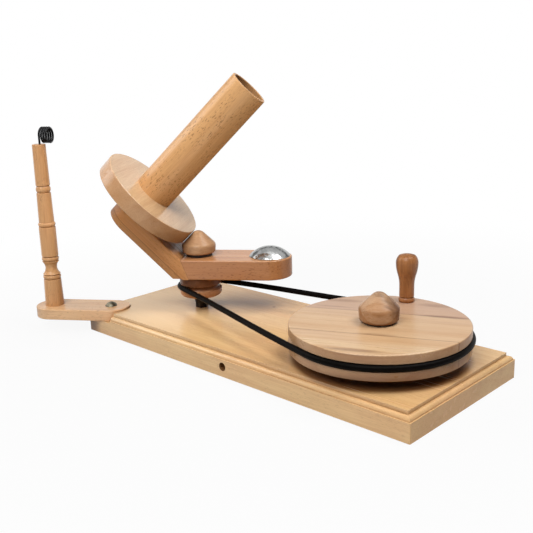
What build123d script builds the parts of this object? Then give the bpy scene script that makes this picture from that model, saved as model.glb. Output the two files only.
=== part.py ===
from build123d import *
import math
import os

os.makedirs("parts", exist_ok=True)

# Hand-cranked wooden yarn ball winder, in millimetres.
# +Z is up, +X runs along the base towards the drive wheel, and the origin lies
# in the middle of the base's underside.

# Fits
running_fit = 0.06  # radial room between a shaft and what turns on it
seat_fit = 0.04  # radial room around pieces that are pressed or glued in
bolt_fit = 0.2  # radial room around a bolt in plain wood
end_play = 0.2  # axial room between faces that turn past each other
rolling_gap = 0.3  # room at the belt's grooves and between the flange's rim and its knob

# Base board
base_length = 460.0
base_width = 185.0
base_height = 26.5
plain_side = 19.0  # height of the plain side under the moulding
moulding_ledge = 1.5  # flat above the plain side
moulding_round = 4.0  # radius of the quarter round
moulding_quirk = 1.0  # flat above the quarter round
corner_round = 1.0
clamp_hole_x = 4.0
clamp_hole_z = 11.0
clamp_hole_radius = 4.5
clamp_hole_depth = 45.0

# Bolts, nuts and washers
bolt_radius = 4.0
bolt_head_flats = 13.0
bolt_head_height = 5.3
bolt_head_room = 3.0  # radial room for a socket around a head
bolt_head_sink = 0.6  # how far a head lies inside its counterbore
nut_flats = 13.0
nut_height = 6.5
lock_nut_height = 8.0
washer_radius = 8.0
washer_thickness = 1.6
thrust_washer_thickness = 3.2
bush_radius = 6.0
insert_height = 14.0
bolt_tip = 1.5  # bolt left past its insert or nut

# Drive wheel
wheel_x = 132.0
wheel_radius = 89.0
wheel_thickness = 25.5
wheel_lift = 10.0  # from the base up to the wheel
wheel_edge = 1.2
wheel_groove = 4.0  # radius of the belt's groove, which is wider than the belt

# Belt
belt_radius = 3.1

# Crank handle
handle_angle = 102.8  # around the wheel, from +X
handle_circle = 74.0
handle_height = 51.2
handle_foot = 7.6
handle_bead = 8.5
handle_bead_height = 4.4
handle_groove = 7.0
handle_neck = 7.8
handle_neck_height = 17.5
handle_belly = 11.6
handle_belly_height = 42.0
handle_shoulder = 8.6
handle_shoulder_drop = 1.6
handle_shoulder_round = 2.5
handle_bore_depth = 38.0
handle_pin_radius = 4.0
handle_pin_head = 6.0
handle_pin_head_height = 4.0
handle_pin_sink = 0.5

# Turned knobs
knob_radius = 20.0
knob_foot = 18.9
knob_foot_round = 2.8
knob_belly = 5.0  # radius of the round below the flank
knob_crown = 9.7  # radius of the ball that rounds the top
knob_washer_radius = 15.5
cap_washer_thickness = 1.6
friction_washer_thickness = 3.4
knob_bore_depth = 17.0
cap_knob_height = 29.0
cap_knob_flank = 47.0  # half angle of the cap knob's cone

# Winder pulley and arm
winder_x = -128.0
pulley_lift = 15.5  # from the base up to the pulley
pulley_radius = 25.0  # to the middle of the belt, and of the lower cheek
pulley_upper_radius = 24.8
pulley_thickness = 25.0
pulley_groove_height = 11.7  # from the pulley's underside up to the belt
pulley_edge = 5.0  # round along the lower edge
pulley_screw_circle = 15.0
pulley_screw_radius = 2.0
pulley_screw_head = 4.0
pulley_screw_sink = 3.0
pulley_screw_grip = 14.0  # length in the arm
arm_turn = 35.0  # the arm's direction at rest, from +X
arm_width = 56.0
arm_thickness = 23.2
arm_reach = 110.5  # from the winder's axis to the rounded end
arm_edge = 1.5
weight_reach = 84.5
weight_radius = 24.0
weight_rise = 11.5
weight_rim = 0.8
weight_slug_radius = 20.0
weight_slug_depth = 14.0

# Tilted head
head_tilt = 45.0  # the spindle's lean from upright
corner_setback = 16.0  # from the winder's axis back to the head's inner corner
joint_run = 8.5  # how far the glued joint runs forward on its way down
tilt_board_thickness = 15.7
backing_thickness = 7.5
backing_short = 1.2  # the backing ends this far above the arm's underside
head_reach = 101.0  # from the inner corner up to the rounded tip
spindle_reach = 77.5  # from the inner corner up to the spindle's axis

# Spindle
flange_radius = 64.5
flange_thickness = 19.0
flange_edge = 1.0
tube_radius = 23.3
tube_wall = 3.2
tube_length = 166.0  # above the flange
tube_edge = 0.8
spigot_radius = 19.0  # the tube's turned-down end, glued into the flange
spigot_length = 8.0
tube_foot = 12.0  # solid wood at the tube's lower end
nut_pocket = 10.5  # radius of the hole for the lock nut in the tube's foot

# Yarn guide
pivot_inset_x = 18.2  # from the base's end to the pivot
pivot_inset_y = 20.0  # from the base's side to the pivot
guide_turn = 214.0  # the plate's direction at rest, from +X
guide_width = 44.5
guide_thickness = 12.8
guide_length = 72.5  # from the pivot to the post
guide_edge = 1.0
pocket_room = 0.75
pocket_floor = 16.1
pivot_radius = 3.0
pivot_head_radius = 7.2
pivot_head_height = 4.4
pivot_nut_flats = 10.0
pivot_nut_height = 5.0
pivot_nut_sink = 1.0
pivot_nut_room = 2.5

# Turned post
tenon_radius = 6.0
tenon_length = 9.0
post_foot_height = 32.5
post_foot_radius = 11.3
post_foot_top = 10.3
post_ring_height = 7.0
post_top_ring_height = 9.5
post_ring_swell = 0.25  # how far a ring stands out of the shaft below it
post_groove_depth = 1.1
post_groove_height = 0.9
post_cove_height = 15.5
post_cove_waist = 6.9
post_lower_height = 35.0
post_lower_radius = 9.9
post_middle_height = 34.0
post_middle_radius = 9.0
post_middle_top = 8.4
post_top_height = 48.0
post_top_radius = 8.3
post_tip_radius = 7.8
post_tip_round = 0.8

# Wire eye
wire_radius = 1.2
eye_radius = 8.4  # to the middle of the wire
eye_pitch = 2.75
eye_quarters = 15  # quarter turns
eye_clear = 0.7  # from the post up to the coil
stem_offset = 3.2  # the wire leaves the post this far towards the pivot from its axis
stem_shift = 4.0  # and this far towards the clamp hole's side
stem_depth = 14.0

# Heights and places that follow from the sizes above
wheel_bottom = base_height + wheel_lift
wheel_top = wheel_bottom + wheel_thickness
wheel_groove_z = wheel_bottom + wheel_thickness / 2
pulley_bottom = base_height + pulley_lift
pulley_groove_z = pulley_bottom + pulley_groove_height
arm_bottom = pulley_bottom + pulley_thickness
arm_top = arm_bottom + arm_thickness
cap_foot = wheel_top + end_play + cap_washer_thickness
friction_foot = arm_top + end_play + friction_washer_thickness
moulding_inset = moulding_ledge + moulding_round + moulding_quirk
head_counterbore = bolt_head_flats / 2 + bolt_head_room
axle_counterbore_depth = bolt_head_sink + bolt_head_height + washer_thickness
spindle_gap = nut_height + thrust_washer_thickness + end_play
pulley_groove = belt_radius + rolling_gap
wheel_groove_radius = wheel_radius + wheel_groove - belt_radius - rolling_gap
plate_bottom = pocket_floor + end_play
plate_top = plate_bottom + guide_thickness
pivot_x = pivot_inset_x - base_length / 2
pivot_y = pivot_inset_y - base_width / 2

# Directions and planes
up = Vector(0, 0, 1)
arm_way = Vector(math.cos(math.radians(arm_turn)), math.sin(math.radians(arm_turn)), 0)
tilt_sine = math.sin(math.radians(head_tilt))
tilt_cosine = math.cos(math.radians(head_tilt))
spindle_way = arm_way * tilt_sine + up * tilt_cosine
slope_way = up * tilt_sine - arm_way * tilt_cosine
inner_corner = Vector(winder_x, 0, arm_top) - arm_way * corner_setback
arm_plan = Plane(origin=(winder_x, 0, arm_bottom), x_dir=arm_way, z_dir=up)
arm_face = arm_plan.offset(arm_thickness)
head_face = Plane(origin=inner_corner, x_dir=slope_way, z_dir=spindle_way)
joint_plane = Plane(
    origin=inner_corner,
    x_dir=arm_way.cross(up),
    z_dir=-(arm_way * arm_thickness + up * joint_run),
)
spindle_face = Plane(
    origin=inner_corner + slope_way * spindle_reach, x_dir=slope_way, z_dir=spindle_way
)
guide_way = Vector(math.cos(math.radians(guide_turn)), math.sin(math.radians(guide_turn)), 0)
guide_plan = Plane(origin=(pivot_x, pivot_y, plate_bottom), x_dir=guide_way, z_dir=up)
guide_face = guide_plan.offset(guide_thickness)
post_foot_point = Vector(pivot_x, pivot_y, plate_top) + guide_way * guide_length
handle_way = Vector(math.cos(math.radians(handle_angle)), math.sin(math.radians(handle_angle)), 0)
handle_point = Vector(wheel_x, 0, wheel_top) + handle_way * handle_circle

wheel_axis = Axis((wheel_x, 0, 0), (0, 0, 1))
winder_axis = Axis((winder_x, 0, 0), (0, 0, 1))
axle_spots = [(wheel_x, 0), (winder_x, 0)]


def upright(point):
    """Drawing plane through a vertical axis: local x is the radius, local y the height."""
    return Plane(origin=point, x_dir=(1, 0, 0), z_dir=(0, -1, 0))


def ring(outer, inner):
    """Flat ring in the current sketch."""
    Circle(outer)
    Circle(inner, mode=Mode.SUBTRACT)


def hexagon(flats, inner):
    """Hexagon with a round hole in the current sketch."""
    RegularPolygon(flats / 2, 6, major_radius=False)
    Circle(inner, mode=Mode.SUBTRACT)


def knob_outline(foot, top, half_angle):
    """Draw half the outline of an acorn knob: foot, belly, conical flank and ball crown."""
    sine = math.sin(math.radians(half_angle))
    cosine = math.cos(math.radians(half_angle))
    crown_z = top - knob_crown
    belly_r = knob_radius - knob_belly
    belly_z = crown_z + (knob_crown - knob_belly - belly_r * cosine) / sine
    widest = (knob_radius, belly_z)
    flank_start = (belly_r + knob_belly * cosine, belly_z + knob_belly * sine)
    flank_end = (knob_crown * cosine, crown_z + knob_crown * sine)
    Line((0, top), (0, foot))
    Line((0, foot), (knob_foot, foot))
    TangentArc(widest, (knob_foot, foot), tangent=(0, -1))
    TangentArc(widest, flank_start, tangent=(0, 1))
    Line(flank_start, flank_end)
    TangentArc((0, top), flank_end, tangent=(1, 0))


def biarc(start, start_way, end, end_way):
    """Two tangent arcs that leave start along start_way and reach end along end_way."""
    span = end - start
    ways = start_way + end_way
    turn = 1 - start_way.dot(end_way)
    reach = span.dot(span) / (2 * span.dot(ways))
    if turn > 1e-9:
        root = math.sqrt(span.dot(ways) ** 2 + 2 * turn * span.dot(span))
        reach = (root - span.dot(ways)) / (2 * turn)
    middle = (start + end + (start_way - end_way) * reach) * 0.5
    TangentArc(start, middle, tangent=start_way)
    TangentArc(end, middle, tangent=-end_way)


# Base board: the two moulded sections cross, which mitres the corners
def moulded_section(half):
    """Draw the base's section, half its width to each side, moulded along both top edges."""
    ledge = half - moulding_ledge
    shoulder = ledge - moulding_round
    shoulder_z = plain_side + moulding_round
    Polyline((0, 0), (half, 0), (half, plain_side), (ledge, plain_side))
    TangentArc((ledge, plain_side), (shoulder, shoulder_z), tangent=(0, 1))
    Polyline(
        (shoulder, shoulder_z),
        (half - moulding_inset, shoulder_z),
        (half - moulding_inset, base_height),
        (0, base_height),
    )
    mirror(about=Plane.YZ)


pocket_radius = guide_width / 2 + pocket_room
pocket_right = pivot_x + pocket_radius
pocket_back = pivot_y + pocket_radius

with BuildPart() as base_board:
    with BuildSketch(Plane.XZ):
        with BuildLine():
            moulded_section(base_length / 2)
        make_face()
    extrude(amount=base_width / 2, both=True)
    with BuildSketch(Plane.YZ):
        with BuildLine():
            moulded_section(base_width / 2)
        make_face()
    extrude(amount=base_length / 2, both=True, mode=Mode.INTERSECT)
    plain_corners = base_board.edges().filter_by(Axis.Z).group_by(SortBy.LENGTH)[-1]
    fillet(plain_corners, corner_round)
    with BuildSketch(Plane.XY.offset(pocket_floor)):
        with Locations((pivot_x, pivot_y)):
            Circle(pocket_radius)
        with Locations((pocket_right, pivot_y)):
            Rectangle(base_length, base_width, align=(Align.MAX, Align.MAX))
        with Locations((pivot_x, pocket_back)):
            Rectangle(base_length, base_width, align=(Align.MAX, Align.MAX))
    extrude(amount=base_height, mode=Mode.SUBTRACT)
    with Locations(*[Location((x, y, 0), (180, 0, 0)) for x, y in axle_spots]):
        CounterBoreHole(bolt_radius + bolt_fit, head_counterbore, axle_counterbore_depth, base_height)
    with Locations(Location((pivot_x, pivot_y, 0), (180, 0, 0))):
        CounterBoreHole(
            pivot_radius + bolt_fit,
            pivot_nut_flats / 2 + pivot_nut_room,
            pivot_nut_sink + pivot_nut_height,
            base_height,
        )
    with BuildSketch(Plane(origin=(clamp_hole_x, -base_width / 2, clamp_hole_z), z_dir=(0, 1, 0))):
        Circle(clamp_hole_radius)
    extrude(amount=clamp_hole_depth, mode=Mode.SUBTRACT)

# Axles: headed bolts that stand up through the base and end in the knobs
with BuildPart() as wheel_axle:
    with BuildSketch(Plane.XY.offset(bolt_head_sink)):
        with Locations((wheel_x, 0)):
            RegularPolygon(bolt_head_flats / 2, 6, major_radius=False)
    extrude(amount=bolt_head_height)
    with BuildSketch(Plane.XY.offset(bolt_head_sink)):
        with Locations((wheel_x, 0)):
            Circle(bolt_radius)
    extrude(amount=cap_foot + insert_height + bolt_tip - bolt_head_sink)

with BuildPart() as winder_axle:
    with BuildSketch(Plane.XY.offset(bolt_head_sink)):
        with Locations((winder_x, 0)):
            RegularPolygon(bolt_head_flats / 2, 6, major_radius=False)
    extrude(amount=bolt_head_height)
    with BuildSketch(Plane.XY.offset(bolt_head_sink)):
        with Locations((winder_x, 0)):
            Circle(bolt_radius)
    extrude(amount=friction_foot + insert_height + bolt_tip - bolt_head_sink)

with BuildPart() as axle_washers:
    with BuildSketch(Plane.XY.offset(bolt_head_sink + bolt_head_height)):
        with Locations(*axle_spots):
            ring(washer_radius, bolt_radius + seat_fit)
    extrude(amount=washer_thickness)

with BuildPart() as base_nuts:
    with BuildSketch(Plane.XY.offset(base_height)):
        with Locations(*axle_spots):
            hexagon(nut_flats, bolt_radius + seat_fit)
    extrude(amount=nut_height)

with BuildPart() as wheel_spacer:
    with BuildSketch(Plane.XY.offset(base_height + nut_height)):
        with Locations((wheel_x, 0)):
            ring(washer_radius, bolt_radius + seat_fit)
    extrude(amount=wheel_lift - nut_height - end_play)

with BuildPart() as winder_spacer:
    with BuildSketch(Plane.XY.offset(base_height + nut_height)):
        with Locations((winder_x, 0)):
            ring(washer_radius, bolt_radius + seat_fit)
    extrude(amount=pulley_lift - nut_height - end_play)

# Knobs on the axles: the friction knob's cone lies along the flange's rim
rim_distance = spindle_reach - flange_radius - rolling_gap
flank_distance = corner_setback * tilt_cosine + arm_top * tilt_sine + rim_distance
friction_top = (flank_distance - knob_crown) / tilt_sine + knob_crown

with BuildPart() as wheel_cap_knob:
    with BuildSketch(upright((wheel_x, 0, 0))) as cap_sketch:
        with BuildLine():
            knob_outline(cap_foot, cap_foot + cap_knob_height, cap_knob_flank)
        make_face()
        fillet(cap_sketch.vertices().sort_by_distance((knob_foot, cap_foot))[0], knob_foot_round)
    revolve(axis=wheel_axis)
    with BuildSketch(Plane.XY.offset(cap_foot)):
        with Locations((wheel_x, 0)):
            Circle(bush_radius + seat_fit)
    extrude(amount=knob_bore_depth, mode=Mode.SUBTRACT)

with BuildPart() as friction_knob:
    with BuildSketch(upright((winder_x, 0, 0))) as friction_sketch:
        with BuildLine():
            knob_outline(friction_foot, friction_top, head_tilt)
        make_face()
        fillet(friction_sketch.vertices().sort_by_distance((knob_foot, friction_foot))[0], knob_foot_round)
    revolve(axis=winder_axis)
    with BuildSketch(Plane.XY.offset(friction_foot)):
        with Locations((winder_x, 0)):
            Circle(bush_radius + seat_fit)
    extrude(amount=knob_bore_depth, mode=Mode.SUBTRACT)

with BuildPart() as knob_washers:
    with BuildSketch(Plane(origin=(wheel_x, 0, cap_foot))):
        ring(knob_washer_radius, bolt_radius + seat_fit)
    extrude(amount=-cap_washer_thickness)
    with BuildSketch(Plane(origin=(winder_x, 0, friction_foot))):
        ring(knob_washer_radius, bolt_radius + seat_fit)
    extrude(amount=-friction_washer_thickness)

with BuildPart() as knob_inserts:
    for (x, y), foot in zip(axle_spots, (cap_foot, friction_foot)):
        with BuildSketch(Plane(origin=(x, y, foot))):
            ring(bush_radius, bolt_radius + seat_fit)
        extrude(amount=insert_height)

# Drive wheel
with BuildPart() as drive_wheel:
    with BuildSketch(Plane(origin=(wheel_x, 0, wheel_bottom))):
        Circle(wheel_radius)
    extrude(amount=wheel_thickness)
    fillet(drive_wheel.edges().filter_by(GeomType.CIRCLE), wheel_edge)
    with BuildSketch(upright((wheel_x, 0, wheel_groove_z))):
        with Locations((wheel_groove_radius, 0)):
            Circle(wheel_groove)
    revolve(axis=wheel_axis, mode=Mode.SUBTRACT)
    with Locations(Location((wheel_x, 0, wheel_top))):
        Hole(bush_radius + seat_fit, wheel_thickness)
    with Locations(Location((handle_point.X, handle_point.Y, wheel_bottom), (180, 0, 0))):
        CounterBoreHole(
            handle_pin_radius + seat_fit,
            handle_pin_head + bolt_fit,
            handle_pin_sink + handle_pin_head_height,
            wheel_thickness,
        )

with BuildPart() as wheel_bush:
    with BuildSketch(Plane(origin=(wheel_x, 0, wheel_bottom))):
        ring(bush_radius, bolt_radius + running_fit)
    extrude(amount=wheel_thickness)

with BuildPart() as handle_pin:
    with BuildSketch(Plane(origin=(handle_point.X, handle_point.Y, wheel_bottom + handle_pin_sink))):
        Circle(handle_pin_head)
    extrude(amount=handle_pin_head_height)
    with BuildSketch(Plane(origin=(handle_point.X, handle_point.Y, wheel_bottom + handle_pin_sink))):
        Circle(handle_pin_radius)
    extrude(amount=wheel_thickness - handle_pin_sink + handle_bore_depth - end_play)

with BuildPart() as crank_handle:
    with BuildSketch(upright(handle_point + up * end_play)) as handle_sketch:
        swell = ((handle_neck + handle_belly) / 2, (handle_neck_height + handle_belly_height) / 2)
        groove_z = handle_bead_height + handle_bead - handle_groove
        shoulder = (handle_shoulder, handle_height - handle_shoulder_drop)
        with BuildLine():
            Line((0, handle_height), (0, 0))
            Line((0, 0), (handle_foot, 0))
            ThreePointArc(
                (handle_foot, 0), (handle_bead, handle_bead_height / 2), (handle_foot, handle_bead_height)
            )
            Polyline(
                (handle_foot, handle_bead_height),
                (handle_groove, (handle_bead_height + groove_z) / 2),
                (handle_neck, groove_z),
                (handle_neck, handle_neck_height),
            )
            TangentArc((handle_neck, handle_neck_height), swell, tangent=(0, 1))
            TangentArc((handle_belly, handle_belly_height), swell, tangent=(0, -1))
            TangentArc((handle_belly, handle_belly_height), shoulder, tangent=(0, 1))
            TangentArc((0, handle_height), shoulder, tangent=(1, 0))
        make_face()
        fillet(handle_sketch.vertices().sort_by_distance(shoulder)[0], handle_shoulder_round)
    revolve(axis=Axis(handle_point, (0, 0, 1)))
    with BuildSketch(Plane(origin=handle_point + up * end_play)):
        Circle(handle_pin_radius + running_fit)
    extrude(amount=handle_bore_depth, mode=Mode.SUBTRACT)

# Drive belt: level round both grooves, with a gentle rise along its two runs
axis_distance = wheel_x - winder_x
lean_cosine = (wheel_radius - pulley_radius) / axis_distance
lean_sine = math.sqrt(1 - lean_cosine**2)
back_normal = Vector(-lean_cosine, lean_sine, 0)
front_normal = Vector(-lean_cosine, -lean_sine, 0)
wheel_center = Vector(wheel_x, 0, wheel_groove_z)
pulley_center = Vector(winder_x, 0, pulley_groove_z)
wheel_back = wheel_center + back_normal * wheel_radius
wheel_front = wheel_center + front_normal * wheel_radius
pulley_back = pulley_center + back_normal * pulley_radius
pulley_front = pulley_center + front_normal * pulley_radius
back_way = up.cross(back_normal)
front_way = up.cross(front_normal)

with BuildPart() as drive_belt:
    with BuildLine() as belt_path:
        ThreePointArc(wheel_front, wheel_center + Vector(wheel_radius, 0, 0), wheel_back)
        biarc(wheel_back, back_way, pulley_back, back_way)
        ThreePointArc(pulley_back, pulley_center - Vector(pulley_radius, 0, 0), pulley_front)
        biarc(pulley_front, front_way, wheel_front, front_way)
    with BuildSketch(Plane(origin=wheel_front, z_dir=front_way)):
        Circle(belt_radius)
    sweep()

# Winder pulley, arm and bush
screw_spots = [(0, pulley_screw_circle), (0, -pulley_screw_circle)]
screw_plan = Plane(origin=(winder_x, 0, pulley_bottom), x_dir=arm_way, z_dir=up)

with BuildPart() as winder_pulley:
    with BuildSketch(Plane(origin=(winder_x, 0, pulley_bottom))):
        Circle(pulley_radius)
    extrude(amount=pulley_groove_height)
    with BuildSketch(Plane(origin=(winder_x, 0, pulley_groove_z))):
        Circle(pulley_upper_radius)
    extrude(amount=pulley_thickness - pulley_groove_height)
    fillet(winder_pulley.edges().filter_by(GeomType.CIRCLE).sort_by(Axis.Z)[0], pulley_edge)
    with BuildSketch(upright((winder_x, 0, pulley_groove_z))):
        with Locations((pulley_radius, 0)):
            Circle(pulley_groove)
    revolve(axis=winder_axis, mode=Mode.SUBTRACT)
    with BuildSketch(screw_plan):
        Circle(bush_radius + seat_fit)
        with Locations(*screw_spots):
            Circle(pulley_screw_radius + seat_fit)
    extrude(amount=pulley_thickness, mode=Mode.SUBTRACT)
    with BuildSketch(screw_plan):
        with Locations(*screw_spots):
            Circle(pulley_screw_head + seat_fit)
    extrude(amount=pulley_screw_sink + pulley_screw_head, mode=Mode.SUBTRACT)

with BuildPart() as pulley_screws:
    with BuildSketch(screw_plan.offset(pulley_screw_sink)):
        with Locations(*screw_spots):
            Circle(pulley_screw_head)
    extrude(amount=pulley_screw_head)
    with BuildSketch(screw_plan.offset(pulley_screw_sink)):
        with Locations(*screw_spots):
            Circle(pulley_screw_radius)
    extrude(amount=pulley_thickness - pulley_screw_sink + pulley_screw_grip)

with BuildPart() as winder_arm:
    arm_center = arm_reach - arm_width / 2
    arm_tail = corner_setback + arm_thickness
    with BuildSketch(arm_plan):
        with Locations((arm_center, 0)):
            Circle(arm_width / 2)
        with Locations((arm_center, 0)):
            Rectangle(arm_center + arm_tail, arm_width, align=(Align.MAX, Align.CENTER))
    extrude(amount=arm_thickness)
    fillet(winder_arm.faces().filter_by(Axis.Z).edges(), arm_edge)
    split(bisect_by=joint_plane, keep=Keep.BOTTOM)
    with BuildSketch(arm_plan):
        Circle(bush_radius + seat_fit)
    extrude(amount=arm_thickness, mode=Mode.SUBTRACT)
    with BuildSketch(arm_plan):
        with Locations(*screw_spots):
            Circle(pulley_screw_radius + seat_fit)
    extrude(amount=pulley_screw_grip + bolt_tip, mode=Mode.SUBTRACT)
    with BuildSketch(arm_face):
        with Locations((weight_reach, 0)):
            Circle(weight_slug_radius + seat_fit)
    extrude(amount=-weight_slug_depth, mode=Mode.SUBTRACT)

with BuildPart() as winder_bush:
    with BuildSketch(screw_plan):
        ring(bush_radius, bolt_radius + running_fit)
    extrude(amount=pulley_thickness + arm_thickness)

weight_foot = Vector(winder_x, 0, arm_top) + arm_way * weight_reach

with BuildPart() as counterweight:
    with BuildSketch(upright(weight_foot)):
        with BuildLine():
            Polyline(
                (0, weight_rise),
                (0, -weight_slug_depth),
                (weight_slug_radius, -weight_slug_depth),
                (weight_slug_radius, 0),
                (weight_radius, 0),
                (weight_radius, weight_rim),
            )
            TangentArc((0, weight_rise), (weight_radius, weight_rim), tangent=(1, 0))
        make_face()
    revolve(axis=Axis(weight_foot, (0, 0, 1)))

# Tilted head: two boards glued together, and to the arm at the joint plane
head_center = head_reach - arm_width / 2
head_tail = arm_thickness / tilt_sine + arm_edge


def head_outline():
    """Outline of the tilted boards, square at the foot and round at the tip."""
    with Locations((head_center, 0)):
        Circle(arm_width / 2)
        Rectangle(head_center + head_tail, arm_width, align=(Align.MAX, Align.CENTER))


with BuildPart() as tilt_board:
    with BuildSketch(head_face):
        head_outline()
    extrude(amount=-tilt_board_thickness)
    fillet(tilt_board.faces().sort_by(Axis(inner_corner, spindle_way))[-1].edges(), arm_edge)
    split(bisect_by=joint_plane, keep=Keep.TOP)
    split(bisect_by=Plane.XY.offset(arm_bottom), keep=Keep.TOP)
    with BuildSketch(spindle_face):
        Circle(bolt_radius + bolt_fit)
    extrude(amount=-tilt_board_thickness, mode=Mode.SUBTRACT)

with BuildPart() as tilt_backing:
    with BuildSketch(head_face.offset(-tilt_board_thickness)):
        head_outline()
    extrude(amount=-backing_thickness)
    fillet(tilt_backing.faces().sort_by(Axis(inner_corner, spindle_way))[0].edges(), arm_edge)
    split(bisect_by=Plane.XY.offset(arm_bottom + backing_short), keep=Keep.TOP)
    with BuildSketch(spindle_face.offset(-tilt_board_thickness)):
        Circle(bolt_radius + bolt_fit)
    extrude(amount=-backing_thickness, mode=Mode.SUBTRACT)
    with BuildSketch(spindle_face.offset(-tilt_board_thickness - backing_thickness)):
        Circle(head_counterbore)
    extrude(amount=bolt_head_sink + bolt_head_height, mode=Mode.SUBTRACT)

# Spindle axle and what holds it
head_seat = -tilt_board_thickness - backing_thickness + bolt_head_sink
flange_top = spindle_gap + flange_thickness
seat_floor = flange_top - spigot_length
lock_nut_foot = seat_floor + end_play + washer_thickness

with BuildPart() as spindle_bolt:
    with BuildSketch(spindle_face.offset(head_seat)):
        RegularPolygon(bolt_head_flats / 2, 6, major_radius=False)
    extrude(amount=bolt_head_height)
    with BuildSketch(spindle_face.offset(head_seat)):
        Circle(bolt_radius)
    extrude(amount=lock_nut_foot + lock_nut_height + bolt_tip - head_seat)

with BuildPart() as spindle_nut:
    with BuildSketch(spindle_face):
        hexagon(nut_flats, bolt_radius + seat_fit)
    extrude(amount=nut_height)

with BuildPart() as spindle_washers:
    with BuildSketch(spindle_face.offset(nut_height)):
        ring(washer_radius, bolt_radius + seat_fit)
    extrude(amount=thrust_washer_thickness)
    with BuildSketch(spindle_face.offset(seat_floor + end_play)):
        ring(washer_radius, bolt_radius + seat_fit)
    extrude(amount=washer_thickness)

with BuildPart() as spindle_lock_nut:
    with BuildSketch(spindle_face.offset(lock_nut_foot)):
        hexagon(nut_flats, bolt_radius + seat_fit)
    extrude(amount=lock_nut_height)

# Flange, tube and bush that turn on the spindle axle
with BuildPart() as flange_disc:
    with BuildSketch(spindle_face.offset(spindle_gap)):
        Circle(flange_radius)
    extrude(amount=flange_thickness)
    fillet(flange_disc.edges().filter_by(GeomType.CIRCLE), flange_edge)
    with BuildSketch(spindle_face.offset(spindle_gap)):
        Circle(bush_radius + seat_fit)
    extrude(amount=flange_thickness, mode=Mode.SUBTRACT)
    with BuildSketch(spindle_face.offset(flange_top)):
        Circle(spigot_radius + seat_fit)
    extrude(amount=-spigot_length, mode=Mode.SUBTRACT)

with BuildPart() as spindle_tube:
    with BuildSketch(spindle_face.offset(seat_floor)):
        ring(spigot_radius, nut_pocket)
    extrude(amount=spigot_length)
    with BuildSketch(spindle_face.offset(flange_top)):
        ring(tube_radius, nut_pocket)
    extrude(amount=tube_length)
    with BuildSketch(spindle_face.offset(seat_floor + tube_foot)):
        Circle(tube_radius - tube_wall)
    extrude(amount=tube_length, mode=Mode.SUBTRACT)
    fillet(spindle_tube.faces().sort_by(Axis(inner_corner, spindle_way))[-1].edges(), tube_edge)

with BuildPart() as spindle_bush:
    with BuildSketch(spindle_face.offset(spindle_gap)):
        ring(bush_radius, bolt_radius + running_fit)
    extrude(amount=flange_thickness - spigot_length)

# Yarn guide
with BuildPart() as guide_plate:
    with BuildSketch(guide_plan):
        with Locations((guide_length / 2, 0)):
            SlotCenterToCenter(guide_length, guide_width)
    extrude(amount=guide_thickness)
    fillet(guide_plate.faces().filter_by(Axis.Z).edges(), guide_edge)
    with BuildSketch(guide_plan):
        Circle(pivot_radius + running_fit)
    extrude(amount=guide_thickness, mode=Mode.SUBTRACT)
    with BuildSketch(guide_face):
        with Locations((guide_length, 0)):
            Circle(tenon_radius + seat_fit)
    extrude(amount=-tenon_length, mode=Mode.SUBTRACT)

with BuildPart() as guide_pivot_bolt:
    pivot_foot = Vector(pivot_x, pivot_y, plate_top + end_play)
    with BuildSketch(upright(pivot_foot)):
        with BuildLine():
            Line((0, pivot_head_height), (0, 0))
            Line((0, 0), (pivot_head_radius, 0))
            TangentArc((0, pivot_head_height), (pivot_head_radius, 0), tangent=(1, 0))
        make_face()
    revolve(axis=Axis(pivot_foot, (0, 0, 1)))
    with BuildSketch(Plane(origin=pivot_foot)):
        Circle(pivot_radius)
    extrude(amount=pivot_nut_sink / 2 - pivot_foot.Z)

with BuildPart() as guide_nut:
    with BuildSketch(Plane(origin=(pivot_x, pivot_y, pivot_nut_sink))):
        hexagon(pivot_nut_flats, pivot_radius + seat_fit)
    extrude(amount=pivot_nut_height)

# Turned post: a foot, then rings and shafts up to the tip
post_shafts = [
    (post_ring_height, post_lower_height, post_lower_radius, post_lower_radius),
    (post_ring_height, post_middle_height, post_middle_radius, post_middle_top),
    (post_top_ring_height, post_top_height, post_top_radius, post_tip_radius),
]


def turned_ring(height, shaft, ring_height):
    """Bead between two grooves that starts at the given height; returns the height of its top."""
    valley = shaft - post_groove_depth
    bead_foot = height + post_groove_height
    bead_head = height + ring_height - post_groove_height
    top = height + ring_height
    Line((shaft, height), (valley, bead_foot))
    ThreePointArc(
        (valley, bead_foot),
        (shaft + post_ring_swell, (bead_foot + bead_head) / 2),
        (valley, bead_head),
    )
    return top, valley, bead_head


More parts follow.
